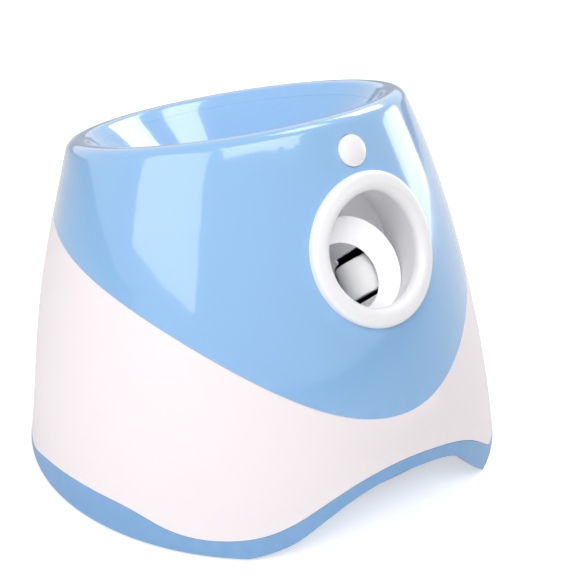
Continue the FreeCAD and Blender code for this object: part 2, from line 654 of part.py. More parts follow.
# ---------------------------------------------------------------- launch port
def make_port_bezel():
    inner = OPENING_RADIUS + SLEEVE_UNDERCUT
    outer = inner + SLEEVE_WALL
    through = 2 * SLEEVE_DEPTH
    ring_wall = port_place(oval_tube(OPENING_RADIUS, BEZEL_RADIUS, -SLEEVE_DEPTH, SLEEVE_DEPTH))
    behind_lip = housing_solid(-SEAT_GAP / 2).cut(port_place(oval_rod(outer, -through, through)))
    cavity = housing_solid(LIP_DEPTH).common(port_place(oval_rod(inner, -through, through)))
    lip = housing_solid(-BEZEL_PROUD).common(ring_wall).cut(behind_lip)
    for radius, round_off in ((BEZEL_RADIUS, BEZEL_OUTER_ROUND), (OPENING_RADIUS, BEZEL_INNER_ROUND)):
        lip = lip.makeFillet(round_off, [port_edge(lip, radius)])
    floor = port_place(oval_rod(outer, -SLEEVE_DEPTH - SLEEVE_FLOOR, -SLEEVE_DEPTH))
    floor = floor.cut(barrel_place(collar_room(SLEEVE_DEPTH)))
    room = barrel_place(collar_room(JOINT_GAP))
    wheels = [barrel_place(wheel) for wheel in wheel_rooms()]
    keep("port_bezel", cut(fuse(lip.cut(cavity), floor), room, *wheels))
    clamp = port_place(oval_tube(outer + SEAT_GAP, outer + RETAINER_WIDTH, -SLEEVE_DEPTH, SLEEVE_DEPTH))
    clamp = clamp.common(housing_solid(WALL + SEAT_GAP)).cut(housing_solid(WALL + RETAINER_THICK))
    guide = button_place(rod(GUIDE_RADIUS + SEAT_GAP, -2 * GUIDE_DEPTH, GUIDE_DEPTH))
    keep("bezel_retainer", cut(clamp, room, guide, *wheels))


def collar_room(front):
    """What the collar needs from the port's sleeve, up to this far out of the mouth."""
    return rod(COLLAR_RADIUS + JOINT_GAP, -BREECH_END, front, 0, COLLAR_LIFT)


def port_edge(shape, radius):
    """The outermost edge of the bezel's lip that runs round the port at this radius."""
    out = outwards(PORT_PITCH)
    up = V(0, math.sin(PORT_PITCH * DEG), math.cos(PORT_PITCH * DEG))
    best, best_height = None, None
    for edge in shape.Edges:
        points = [p - PORT for p in edge.discretize(9)]
        if all(abs(math.hypot(p.x / PORT_OVAL, p.dot(up)) - radius) < 0.2 for p in points):
            height = sum(p.dot(out) for p in points) / len(points)
            if best is None or height > best_height:
                best, best_height = edge, height
    return best


def skew_cone(radius0, z0, lift0, radius1, z1, lift1):
    """Cone between two circles whose middles lie lift0 and lift1 over the axis."""
    rings = [Part.Wire([Part.makeCircle(r, V(0, lift, z), Z_AXIS)])
             for r, z, lift in ((radius0, z0, lift0), (radius1, z1, lift1))]
    return Part.makeLoft(rings, True, True)


def make_collar():
    end = -FLARE_LENGTH - COLLAR_SOCKET
    rim = rod(COLLAR_RADIUS, -COLLAR_RIM, 0, 0, COLLAR_LIFT)
    taper = skew_cone(BARREL_OUT + COLLAR_WALL, end, 0, COLLAR_RADIUS, -COLLAR_RIM, COLLAR_LIFT)
    flare = skew_cone(BORE, -FLARE_LENGTH, 0, COLLAR_RADIUS - COLLAR_LIP, 0, COLLAR_LIFT)
    socket = rod(BARREL_OUT + RUNNING_GAP, end - 1, -FLARE_LENGTH)
    keep("barrel_collar", barrel_place(cut(fuse(rim, taper), flare, socket, *wheel_rooms())))


def wheel_rooms():
    """Room for the two wheels and the slits beside their treads."""
    half = WHEEL_WIDTH / 2 + WINDOW_SLIT
    return [across_rod(WHEEL_RADIUS + WINDOW_GAP, -half, half, side * WHEEL_X, WHEEL_AT)
            for side in (-1, 1)]


def front_windows():
    """The barrel is open beside the wheels up to its front end, so a ball meets only treads."""
    half = WHEEL_WIDTH / 2 + WINDOW_SLIT
    return box(-BARREL_OUT - 1, -half, -WHEEL_AT, BARREL_OUT + 1, half, 0)


def make_barrel():
    body = rod(BARREL_OUT, -BREECH_END, -FLARE_LENGTH - RUNNING_GAP)
    flange = rod(BARREL_OUT + FLANGE_WIDTH, -BREECH_END, -BREECH_END + FLANGE_THICK)
    barrel = fuse(body, flange)
    for side in (-1, 1):
        ear_out = WHEEL_X + MOTOR_RADIUS + EAR_MARGIN
        ear = box(BORE / 2, EAR_TOP - EAR_THICK, -WHEEL_AT - EAR_HALF_LENGTH,
                  ear_out, EAR_TOP, -WHEEL_AT + EAR_HALF_LENGTH)
        rib = box(BORE / 2, EAR_TOP - EAR_THICK - RIB_HEIGHT, -WHEEL_AT - EAR_HALF_LENGTH,
                  ear_out, EAR_TOP, -WHEEL_AT - EAR_HALF_LENGTH + EAR_THICK)
        shape = fuse(ear, rib)
        barrel = barrel.fuse(shape if side > 0 else mirrored(shape))
    loading = across_rod(CHUTE_RADIUS, CHUTE_FOOT - 2, 2 * BARREL_OUT, 0, BALL_AT)
    barrel = cut(barrel.removeSplitter(), rod(BORE, -BREECH_END - 1, 0), loading,
                 front_windows(), *wheel_rooms())
    for x, behind in motor_screw_places():
        barrel = barrel.cut(across_rod(SCREW_RADIUS + RUNNING_GAP, EAR_TOP - EAR_THICK - 1,
                                       EAR_TOP + 1, x, behind))
    for side in (-1, 1):
        barrel = barrel.cut(across_rod(MOTOR_BOSS + SEAT_GAP, EAR_TOP - EAR_THICK - 1, EAR_TOP + 1,
                                       side * WHEEL_X, WHEEL_AT))
    for x, y in cap_screw_places():
        barrel = barrel.cut(rod(SCREW_RADIUS + RUNNING_GAP, -BREECH_END - 1,
                                -BREECH_END + FLANGE_THICK + 1, x, y))
    keep("launch_barrel", barrel_place(barrel))


# ---------------------------------------------------------------- flywheels and motors
def motor_screw_places():
    return [(side * WHEEL_X, WHEEL_AT + end * MOTOR_SCREW_SPAN / 2)
            for side in (-1, 1) for end in (-1, 1)]


def make_flywheels():
    half = WHEEL_WIDTH / 2
    hub_radius = WHEEL_RADIUS - TYRE_THICK
    for side, name in ((-1, "left"), (1, "right")):
        x = side * WHEEL_X
        tyre = across_rod(WHEEL_RADIUS, -half, half, x, WHEEL_AT).cut(
            across_rod(hub_radius + RUNNING_GAP, -half - 1, half + 1, x, WHEEL_AT))
        rims = [e for e in tyre.Edges if e.BoundBox.XLength > 2 * hub_radius + TYRE_THICK]
        tyre = tyre.makeFillet(TYRE_ROUND, [e for e in rims if e.BoundBox.YLength < 0.01])
        hub = across_rod(hub_radius, -half, half, x, WHEEL_AT).cut(
            across_rod(hub_radius - HUB_RIM, -half - 1, half + 1, x, WHEEL_AT))
        hub = fuse(hub, across_rod(hub_radius - HUB_RIM / 2, -HUB_WEB / 2, HUB_WEB / 2, x, WHEEL_AT),
                   across_rod(HUB_BOSS, -half, half, x, WHEEL_AT))
        hub = hub.cut(across_rod(SHAFT_RADIUS, -half - 1, half + 1, x, WHEEL_AT))
        for k in range(HUB_HOLES):
            turn = 2 * math.pi * k / HUB_HOLES
            middle = (HUB_BOSS + hub_radius - HUB_RIM) / 2
            hub = hub.cut(across_rod(HUB_HOLE, -HUB_WEB, HUB_WEB, x + middle * math.cos(turn),
                                     WHEEL_AT + middle * math.sin(turn)))
        face = EAR_TOP - EAR_THICK
        shaft = across_rod(SHAFT_RADIUS, face - MOTOR_LENGTH + SHAFT_RADIUS, half, x, WHEEL_AT)
        can = across_rod(MOTOR_RADIUS, face - MOTOR_LENGTH, face, x, WHEEL_AT)
        flats = box(x - MOTOR_RADIUS, face - MOTOR_LENGTH, -WHEEL_AT - MOTOR_FLAT,
                    x + MOTOR_RADIUS, face, -WHEEL_AT + MOTOR_FLAT)
        motor = fuse(can.common(flats), across_rod(MOTOR_BOSS, face - 1, face + MOTOR_BOSS_HEIGHT,
                                                   x, WHEEL_AT))
        motor = motor.cut(across_rod(SHAFT_RADIUS + RUNNING_GAP, face - MOTOR_LENGTH,
                                     face + 2 * MOTOR_BOSS_HEIGHT, x, WHEEL_AT))
        cap = across_rod(MOTOR_RADIUS - MOTOR_CAP / 2, face - MOTOR_LENGTH - MOTOR_CAP,
                         face - MOTOR_LENGTH, x, WHEEL_AT)
        for end in (-1, 1):
            behind = WHEEL_AT + end * MOTOR_SCREW_SPAN / 2
            motor = motor.cut(across_rod(SCREW_RADIUS + RUNNING_GAP, face - MOTOR_SCREW_LENGTH,
                                         face + 1, x, behind))
            blade = box(x - BLADE_HALF, face - MOTOR_LENGTH - 2 * MOTOR_CAP, -behind - BLADE_THICK / 2,
                        x + BLADE_HALF, face - MOTOR_LENGTH - MOTOR_CAP / 2, -behind + BLADE_THICK / 2)
            cap = cap.fuse(blade)
        keep("flywheel_tyre_" + name, barrel_place(tyre))
        keep("flywheel_hub_" + name, barrel_place(hub))
        keep("flywheel_shaft_" + name, barrel_place(shaft))
        keep("flywheel_motor_" + name, barrel_place(motor))
        keep("motor_end_cap_" + name, barrel_place(cap))
    screws = []
    for x, behind in motor_screw_places():
        screw = pan_screw(EAR_THICK + MOTOR_SCREW_LENGTH - 1)
        screw.rotate(V(0, 0, 0), X_AXIS, -90)
        screw.translate(V(x, EAR_TOP, -behind))
        screws.append(barrel_place(screw))
    keep("motor_screws", Part.makeCompound(screws))


# ---------------------------------------------------------------- hopper and chute
def throat_screw_places():
    middle = CHUTE_RADIUS + CHUTE_WALL + THROAT_FLANGE / 2
    return [(middle * math.cos(a * DEG), BALL_AT + middle * math.sin(a * DEG))
            for a in (45, 135, 225, 315)]


def funnel_room(grow):
    """The inside of the hopper, from its throat to just over the rim, made this much wider."""
    foot = barrel_point(0, THROAT_AT + THROAT_FLANGE_THICK / 2, BALL_AT)
    top = housing_ring(1.0, RIM_WIDTH - grow, -HOPPER_RISE)
    radius = CHUTE_RADIUS + THROAT_STEP + grow
    bottom = ring(foot, radius, radius * math.cos(BARREL_PITCH * DEG), math.tan(BARREL_PITCH * DEG))
    return Part.makeLoft([top, bottom], True, True)


def over_hopper():
    """Everything over the plane on which the hopper meets the rim."""
    wide = 2 * max(HALF_WIDTH)
    over = Part.makeBox(2 * wide, 2 * wide, wide, V(-wide, -wide, 0))
    over.rotate(V(0, 0, 0), X_AXIS, -math.atan(INSIDE_TOP * SLOPE) / DEG)
    over.translate(V(0, fit_at(MIDDLE_Y, INSIDE_TOP), INSIDE_TOP * RIM_HEIGHT - HOPPER_GAP))
    return over


def make_hopper():
    flange = barrel_place(across_rod(CHUTE_RADIUS + CHUTE_WALL + THROAT_FLANGE, THROAT_AT,
                                     THROAT_AT + THROAT_FLANGE_THICK, 0, BALL_AT))
    bore = barrel_place(across_rod(CHUTE_RADIUS, THROAT_AT - 1, THROAT_AT + THROAT_FLANGE_THICK,
                                   0, BALL_AT))
    funnel = cut(fuse(funnel_room(FUNNEL_WALL), flange), funnel_room(0.0), bore, over_hopper())
    outer = CHUTE_RADIUS + CHUTE_WALL
    chute = fuse(across_rod(outer, CHUTE_FOOT, THROAT_AT, 0, BALL_AT),
                 across_rod(outer + THROAT_FLANGE, THROAT_AT - THROAT_FLANGE_THICK, THROAT_AT,
                            0, BALL_AT))
    chute = cut(chute, across_rod(CHUTE_RADIUS, 0, THROAT_AT + 1, 0, BALL_AT),
                rod(BARREL_OUT + SEAT_GAP, -BREECH_END - 10, 0))
    screws = []
    for x, behind in throat_screw_places():
        hole = across_rod(SCREW_RADIUS + RUNNING_GAP, THROAT_AT - 2 * THROAT_FLANGE_THICK,
                          THROAT_AT + 3 * THROAT_FLANGE_THICK, x, behind)
        chute = chute.cut(hole)
        funnel = funnel.cut(barrel_place(hole))
        screw = pan_screw(2 * THROAT_FLANGE_THICK)
        screw.rotate(V(0, 0, 0), X_AXIS, 90)
        screw.translate(V(x, THROAT_AT - THROAT_FLANGE_THICK, -behind))
        screws.append(barrel_place(screw))
    keep("hopper_funnel", funnel)
    keep("drop_chute", barrel_place(chute))
    keep("throat_screws", Part.makeCompound(screws))
    sensors = []
    for side in (-1, 1):
        x = outer + RUNNING_GAP
        block = box(x, SENSOR_AT - SENSOR_SIDE / 2, -BALL_AT - SENSOR_SIDE / 2,
                    x + SENSOR_SIDE, SENSOR_AT + SENSOR_SIDE / 2, -BALL_AT + SENSOR_SIDE / 2)
        sensors.append(barrel_place(block if side > 0 else mirrored(block)))
    keep("ball_sensor_emitter", sensors[0])
    keep("ball_sensor_receiver", sensors[1])


# ---------------------------------------------------------------- feeder
def cap_screw_places():
    middle = BARREL_OUT + FLANGE_WIDTH / 2
    return [(middle * math.cos(a * DEG), middle * math.sin(a * DEG)) for a in (90, 210, 330)]


def make_breech_cap():
    back = -BREECH_END - CAP_THICK
    half = CAP_BOSS_SIDE / 2
    cap = fuse(rod(BARREL_OUT + FLANGE_WIDTH, back, -BREECH_END),
               box(-half, -half, back - CAP_BOSS, half, half, -BREECH_END))
    hole = RACK_SIDE / 2 + RACK_GAP
    cap = cap.cut(box(-hole, -hole, back - CAP_BOSS - 1, hole, hole, 0))
    screws = []
    for x, y in cap_screw_places():
        cap = cap.cut(rod(SCREW_RADIUS + RUNNING_GAP, back - 1, 0, x, y))
        screw = pan_screw(CAP_THICK + FLANGE_THICK)
        screw.rotate(V(0, 0, 0), X_AXIS, 180)
        screw.translate(V(x, y, back))
        screws.append(barrel_place(screw))
    keep("breech_cap", barrel_place(cap))
    keep("breech_screws", Part.makeCompound(screws))


def make_pusher():
    head = rod(PUSHER_RADIUS, -PUSHER_AT - PUSHER_THICK, -PUSHER_AT)
    head = head.makeChamfer(PUSHER_CHAMFER, on_plane_edges(head, V(0, 0, -PUSHER_AT), Z_AXIS))
    dish = Part.makeSphere(BALL_RADIUS, V(0, 0, -BALL_AT + PUSHER_CHAMFER / 2 - PUSHER_CHAMFER))
    keep("feed_pusher", barrel_place(head.cut(dish)))
    half = RACK_SIDE / 2
    bar = box(-half, -half, -RACK_END, half, half, -PUSHER_AT - PUSHER_THICK)
    pitch = GEAR_MODULE * math.pi
    tan = math.tan(PRESSURE_ANGLE * DEG)
    root = RACK_PITCH_LINE - 1.25 * GEAR_MODULE
    top = RACK_PITCH_LINE + GEAR_MODULE + 0.1
    count = int((RACK_TEETH_TO - PINION_AT) / pitch)
    for k in range(-2, count + 1):
        z = -PINION_AT - k * pitch
        gap_half = pitch / 4 + BACKLASH / 4
        low = gap_half - (RACK_PITCH_LINE - root) * tan
        high = gap_half + (top - RACK_PITCH_LINE) * tan
        points = [V(-half - 1, root, z - low), V(-half - 1, top, z - high),
                  V(-half - 1, top, z + high), V(-half - 1, root, z + low)]
        gap = Part.Face(Part.makePolygon(points + points[:1])).extrude(V(RACK_SIDE + 2, 0, 0))
        bar = bar.cut(gap)
    keep("pusher_rack", barrel_place(bar))


def involute(radius, base):
    """Roll angle between the base circle and the involute's point at this radius."""
    return math.sqrt(max(0.0, (radius / base) ** 2 - 1)) - math.acos(min(1.0, base / radius))


def make_pinion():
    base = PITCH_RADIUS * math.cos(PRESSURE_ANGLE * DEG)
    outer = PITCH_RADIUS + GEAR_MODULE
    root = PITCH_RADIUS - 1.25 * GEAR_MODULE
    half_pitch = (math.pi * GEAR_MODULE / 2 - BACKLASH / 2) / (2 * PITCH_RADIUS)
    radii = [base + (outer - base) * k / FLANK_POINTS for k in range(FLANK_POINTS + 1)]
    points = []
    for tooth in range(PINION_TEETH):
        middle = -math.pi / 2 + 2 * math.pi * tooth / PINION_TEETH
        flank = [(root, half_pitch + involute(PITCH_RADIUS, base))]
        flank += [(r, half_pitch + involute(PITCH_RADIUS, base) - involute(r, base)) for r in radii]
        for r, turn in flank:
            points.append((r, middle - turn))
        for r, turn in reversed(flank):
            points.append((r, middle + turn))
    corners = [V(-PINION_WIDTH / 2, PINION_UP + r * math.sin(a), -PINION_AT + r * math.cos(a))
               for r, a in points]
    pinion = Part.Face(Part.makePolygon(corners + corners[:1])).extrude(V(PINION_WIDTH, 0, 0))
    bracket_x = RACK_SIDE / 2 + BRACKET_GAP
    face = bracket_x + BRACKET_THICK
    centre = V(0, PINION_UP, -PINION_AT)

    def along(radius, x0, x1):
        return Part.makeCylinder(radius, x1 - x0, centre + V(x0, 0, 0), X_AXIS)

    pinion = pinion.cut(along(SHAFT_RADIUS, -PINION_WIDTH, PINION_WIDTH))
    keep("feeder_pinion", barrel_place(pinion))
    keep("feeder_shaft", barrel_place(along(SHAFT_RADIUS, -PINION_WIDTH / 2 - 1,
                                            face + GEARBOX_LENGTH / 2)))
    gearbox = fuse(along(GEARBOX_RADIUS, face, face + GEARBOX_LENGTH),
                   along(GEARBOX_BOSS, bracket_x, face + 1))
    gearbox = gearbox.cut(along(SHAFT_RADIUS + RUNNING_GAP, 0, face + GEARBOX_LENGTH / 2 + 1))
    motor = along(FEED_MOTOR_RADIUS, face + GEARBOX_LENGTH, face + GEARBOX_LENGTH + FEED_MOTOR_LENGTH)
    motor = motor.fuse(along(FEED_MOTOR_BOSS, face + GEARBOX_LENGTH + FEED_MOTOR_LENGTH,
                             face + GEARBOX_LENGTH + FEED_MOTOR_LENGTH + FEED_MOTOR_BOSS / 2))
    keep("feeder_motor", barrel_place(motor))
    axis = barrel_point(0, PINION_UP, PINION_AT)
    plate = box(bracket_x, axis.y - BRACKET_HALF_LENGTH, FLOOR_TOP,
                face, axis.y + BRACKET_HALF_LENGTH, axis.z + GEARBOX_RADIUS + BRACKET_THICK)
    foot = box(bracket_x, axis.y - BRACKET_HALF_LENGTH, FLOOR_TOP,
               bracket_x + BRACKET_FOOT, axis.y + BRACKET_HALF_LENGTH, FLOOR_TOP + BRACKET_THICK)
    bracket = fuse(plate, foot)
    bracket = bracket.cut(Part.makeCylinder(GEARBOX_BOSS + SEAT_GAP, face + 1, V(0, axis.y, axis.z),
                                            X_AXIS))
    screws = []
    for side in (-1, 1):
        y = axis.y + side * GEAR_SCREW_SPAN / 2
        hole = Part.makeCylinder(SCREW_RADIUS + RUNNING_GAP, face + GEAR_SCREW_LENGTH, V(0, y, axis.z),
                                 X_AXIS)
        bracket = bracket.cut(hole)
        gearbox = gearbox.cut(tilt_back(hole))
        screw = pan_screw(BRACKET_THICK + GEAR_SCREW_LENGTH - 1)
        screw.rotate(V(0, 0, 0), Y_AXIS, -90)
        screw.translate(V(bracket_x, y, axis.z))
        screws.append(screw)
    keep("feeder_gearbox", barrel_place(gearbox))
    for x, y in bracket_screw_places():
        bracket = bracket.cut(rod(SCREW_RADIUS + RUNNING_GAP, 0, FLOOR_TOP + BRACKET_THICK + 1, x, y))
        screws.append(floor_screw(x, y, BRACKET_THICK))
    keep("feeder_bracket", bracket)
    keep("feeder_screws", Part.makeCompound(screws))


def tilt_back(shape):
    """A shape from the launcher's frame into the local barrel frame."""
    shape = shape.copy()
    shape.translate(V(0, 0, 0) - MOUTH)
    shape.rotate(V(0, 0, 0), X_AXIS, BARREL_PITCH - 90.0)
    return shape


def floor_screw(x, y, stack):
    screw = pan_screw(stack + FLOOR_THICK)
    screw.translate(V(x, y, FLOOR_TOP + stack))
    return screw


def bracket_screw_places():
    axis = barrel_point(0, PINION_UP, PINION_AT)
    x = RACK_SIDE / 2 + BRACKET_GAP + BRACKET_THICK + (BRACKET_FOOT - BRACKET_THICK) / 2
    return [(x, axis.y + side * BRACKET_HALF_LENGTH * 0.6) for side in (-1, 1)]


# ---------------------------------------------------------------- barrel cradle
def cradle_span():
    return [barrel_point(0, -BARREL_OUT, behind).y for behind in CRADLE_AT]


def cradle_screw_places():
    front, back = cradle_span()
    x = (CRADLE_HALF_WIDTH + CRADLE_BASE_HALF) / 2
    return [(side * x, y) for side in (-1, 1) for y in (front, back)]


def make_cradle():
    front, back = cradle_span()
    base_top = FLOOR_TOP + CRADLE_BASE_THICK
    margin = SCREW_HEAD + 2
    parts = [box(-CRADLE_BASE_HALF, front - margin, FLOOR_TOP, CRADLE_BASE_HALF, back + margin, base_top)]
    for behind in CRADLE_AT:
        low = barrel_point(0, -BARREL_OUT, behind)
        parts.append(box(-CRADLE_HALF_WIDTH, low.y - CRADLE_THICK / 2, FLOOR_TOP, CRADLE_HALF_WIDTH,
                         low.y + CRADLE_THICK / 2, low.z + CRADLE_GRIP))
    rib_top = barrel_point(0, -BARREL_OUT, CRADLE_AT[1]).z - CRADLE_THICK
    parts.append(box(-CRADLE_THICK / 2, front, FLOOR_TOP, CRADLE_THICK / 2, back, rib_top))
    cradle = fuse(*parts).cut(barrel_place(rod(BARREL_OUT + SEAT_GAP, -BREECH_END, 0)))
    screws = []
    for x, y in cradle_screw_places():
        cradle = cradle.cut(rod(SCREW_RADIUS + RUNNING_GAP, 0, base_top + 1, x, y))
        screws.append(floor_screw(x, y, CRADLE_BASE_THICK))
    keep("barrel_cradle", cradle)
    keep("cradle_screws", Part.makeCompound(screws))


# ---------------------------------------------------------------- button
def make_button():
    flange_low = -BUTTON_FLANGE_AT - BUTTON_FLANGE_THICK
    dome_radius = (BUTTON_RADIUS ** 2 + BUTTON_DOME ** 2) / (2 * BUTTON_DOME)
    dome = Part.makeSphere(dome_radius, V(0, 0, BUTTON_PROUD + BUTTON_DOME - dome_radius)).common(
        rod(BUTTON_RADIUS, BUTTON_PROUD - 0.5, BUTTON_PROUD + 2 * BUTTON_DOME))
    flange_radius = BUTTON_RADIUS + BUTTON_FLANGE
    stem_end = -GUIDE_DEPTH + SWITCH_HEIGHT + PLUNGER_HEIGHT + BUTTON_TRAVEL + BUTTON_GAP
    button = fuse(rod(BUTTON_RADIUS, flange_low, BUTTON_PROUD), dome,
                  rod(flange_radius, flange_low, -BUTTON_FLANGE_AT),
                  rod(STEM_RADIUS, stem_end, flange_low + 0.5))
    keep("power_button", button_place(button))
    inner = flange_radius + BUTTON_GAP
    funnel = funnel_room(FUNNEL_WALL + JOINT_GAP)
    guide = button_place(tube(inner, GUIDE_RADIUS, -GUIDE_DEPTH, GUIDE_DEPTH))
    inside = housing_solid(WALL + SEAT_GAP, INSIDE_TOP - SEAT_GAP / RIM_HEIGHT)
    keep("button_guide", guide.common(inside).cut(funnel))
    board = rod(GUIDE_RADIUS, -GUIDE_DEPTH - BUTTON_BOARD_THICK, -GUIDE_DEPTH)
    keep("button_board", button_place(board).cut(funnel))
    half = SWITCH_SIDE / 2
    switch = fuse(box(-half, -half, -GUIDE_DEPTH, half, half, -GUIDE_DEPTH + SWITCH_HEIGHT),
                  rod(PLUNGER_RADIUS, -GUIDE_DEPTH, -GUIDE_DEPTH + SWITCH_HEIGHT + PLUNGER_HEIGHT))
    keep("tact_switch", button_place(switch))
    height = flange_low + GUIDE_DEPTH - 2 * SPRING_WIRE - RUNNING_GAP
    helix = Part.makeHelix(height / SPRING_TURNS, height, SPRING_RADIUS)
    section = Part.Wire([Part.makeCircle(SPRING_WIRE, V(SPRING_RADIUS, 0, 0), Y_AXIS)])
    spring = Part.Wire(helix.Edges).makePipeShell([section], True, True)
    spring.translate(V(0, 0, -GUIDE_DEPTH + SPRING_WIRE + RUNNING_GAP / 2))
    keep("button_spring", button_place(spring))


# ---------------------------------------------------------------- power
def make_power():
    cells, contacts = [], []
    middle_z = FLOOR_BOTTOM + CELL_RADIUS
    for side in (-1, 1):
        for row in (-1, 1):
            x0 = CELL_GAP / 2 if side > 0 else -CELL_GAP / 2 - CELL_LENGTH
            y = WELL_MIDDLE_Y + row * (CELL_RADIUS + CELL_GAP / 2)
            nub = CELL_NUB
            body = Part.makeCylinder(CELL_RADIUS, CELL_LENGTH - nub, V(x0, y, middle_z), X_AXIS)
            tip = Part.makeCylinder(CELL_TIP, nub, V(x0 + CELL_LENGTH - nub, y, middle_z), X_AXIS)
            cells.append(fuse(body, tip))
            plate_x = WELL_HALF_X - CONTACT_THICK - CONTACT_SEAT
            plate = box(plate_x, y - CONTACT_HALF, middle_z - CONTACT_HALF,
                        plate_x + CONTACT_THICK, y + CONTACT_HALF, middle_z + CONTACT_HALF)
            pad = Part.makeCylinder(CELL_TIP, CONTACT_PAD, V(plate_x - CONTACT_PAD, y, middle_z), X_AXIS)
            contact = fuse(plate, pad)
            contacts.append(contact if side > 0 else mirrored(contact))
    keep("battery_cells", Part.makeCompound(cells))
    keep("battery_contacts", Part.makeCompound(contacts))
    top = FLOOR_BOTTOM - DOOR_GAP
    door = box(-DOOR_HALF_X, DOOR_FRONT, top - DOOR_THICK, DOOR_HALF_X, DOOR_BACK, top)
    for k in range(DOOR_RIBS):
        y = WELL_MIDDLE_Y + (k - (DOOR_RIBS - 1) / 2) * DOOR_RIB_STEP
        door = door.fuse(box(-DOOR_RIB_HALF, y - DOOR_RIB_STEP / 4, top - DOOR_THICK - DOOR_RIB_HEIGHT,
                             DOOR_RIB_HALF, y + DOOR_RIB_STEP / 4, top - DOOR_THICK + 0.1))
    keep("battery_door", door.removeSplitter())


def back_place(shape, x):
    """Local frame (+Z out, +Y up) to the back wall at this x, square to the wall."""
    t = share_at(back_edge, SOCKET_HEIGHT)
    wide, deep = fit_at(HALF_WIDTH, t), fit_at(HALF_DEPTH, t)
    back = deep * math.sqrt(1 - (x / wide) ** 2)
    turn = math.atan2(x / wide ** 2, back / deep ** 2) / DEG
    shape = shape.copy()
    shape.rotate(V(0, 0, 0), X_AXIS, 90)
    shape.rotate(V(0, 0, 0), Z_AXIS, 180 - turn)
    shape.translate(V(x, fit_at(MIDDLE_Y, t) + back, SOCKET_HEIGHT) - outward_at(turn) * SOCKET_INSET)
    return shape


def outward_at(turn):
    return V(math.sin(turn * DEG), math.cos(turn * DEG), 0)


def pin_across(radius, half, height):
    return Part.makeCylinder(radius, 2 * half, V(-half, 0, height), X_AXIS)


def make_sockets():
    flange = ROCKER_FLANGE
    high = SOCKET_INSET + SOCKET_PROUD
    shell = fuse(box(-ROCKER_HALF_WIDTH, -ROCKER_HALF_HEIGHT, -ROCKER_DEPTH + 2,
                     ROCKER_HALF_WIDTH, ROCKER_HALF_HEIGHT, high),
                 box(-ROCKER_HALF_WIDTH - flange, -ROCKER_HALF_HEIGHT - flange, RUNNING_GAP,
                     ROCKER_HALF_WIDTH + flange, ROCKER_HALF_HEIGHT + flange, high))
    shell = shell.cut(box(-ROCKER_HALF_WIDTH + ROCKER_WALL, -ROCKER_HALF_HEIGHT + ROCKER_WALL,
                          -ROCKER_ROOM, ROCKER_HALF_WIDTH - ROCKER_WALL,
                          ROCKER_HALF_HEIGHT - ROCKER_WALL, high + 1))
    pivot_z = high - ROCKER_PIVOT_DEPTH
    shell = shell.cut(pin_across(ROCKER_PIVOT + RUNNING_GAP, ROCKER_HALF_WIDTH - ROCKER_WALL / 2,
                                 pivot_z))
    blades = []
    for y in (-ROCKER_HALF_HEIGHT / 2, ROCKER_HALF_HEIGHT / 2):
        blades.append(box(-SPADE_HALF, y - BLADE_THICK / 2, -ROCKER_DEPTH - SPADE_LENGTH,
                          SPADE_HALF, y + BLADE_THICK / 2, -ROCKER_DEPTH + SPADE_LENGTH / 2))
    keep("rocker_housing", back_place(fuse(shell, *blades), SOCKET_OFFSET))
    half = ROCKER_HALF_WIDTH - ROCKER_WALL - JOINT_GAP
    reach = ROCKER_HALF_HEIGHT - ROCKER_WALL - 2 * JOINT_GAP - ROCKER_SWING_ROOM
    foot = high - ROCKER_PIVOT_DEPTH - ROCKER_FOOT
    points = [V(-half, -reach, high + ROCKER_RISE), V(-half, 0, high), V(-half, reach, high + ROCKER_RISE),
              V(-half, reach * ROCKER_TAPER, foot), V(-half, -reach * ROCKER_TAPER, foot)]
    rocker = Part.Face(Part.makePolygon(points + points[:1])).extrude(V(2 * half, 0, 0))
    rocker = fuse(rocker, pin_across(ROCKER_PIVOT, ROCKER_HALF_WIDTH - ROCKER_WALL / 2 - RUNNING_GAP,
                                     pivot_z))
    rocker.rotate(V(0, 0, pivot_z), X_AXIS, -ROCKER_ANGLE)
    keep("power_rocker", back_place(rocker, SOCKET_OFFSET))
    inlet = fuse(rod(INLET_RADIUS, -INLET_DEPTH, high), rod(INLET_RADIUS + INLET_FLANGE, RUNNING_GAP, high))
    inlet = inlet.cut(rod(INLET_BORE, -INLET_DEPTH + INLET_WALL, high + 1)).fuse(
        rod(INLET_PIN, -INLET_DEPTH + INLET_WALL / 2, high - INLET_WALL / 2))
    keep("dc_inlet", back_place(inlet, -SOCKET_OFFSET))
    nut_front = -WALL + SOCKET_INSET - 2 * JOINT_GAP
    nut = tube(INLET_RADIUS + RUNNING_GAP, INLET_RADIUS + INLET_FLANGE, nut_front - NUT_THICK, nut_front)
    keep("inlet_nut", back_place(nut, -SOCKET_OFFSET))


# ---------------------------------------------------------------- electronics
def board_corners():
    dx = BOARD_SIZE[0] / 2 - STANDOFF_RADIUS - 1
    dy = BOARD_SIZE[1] / 2 - STANDOFF_RADIUS - 1
    return [(BOARD_MIDDLE[0] + sx * dx, BOARD_MIDDLE[1] + sy * dy) for sx in (-1, 1) for sy in (-1, 1)]


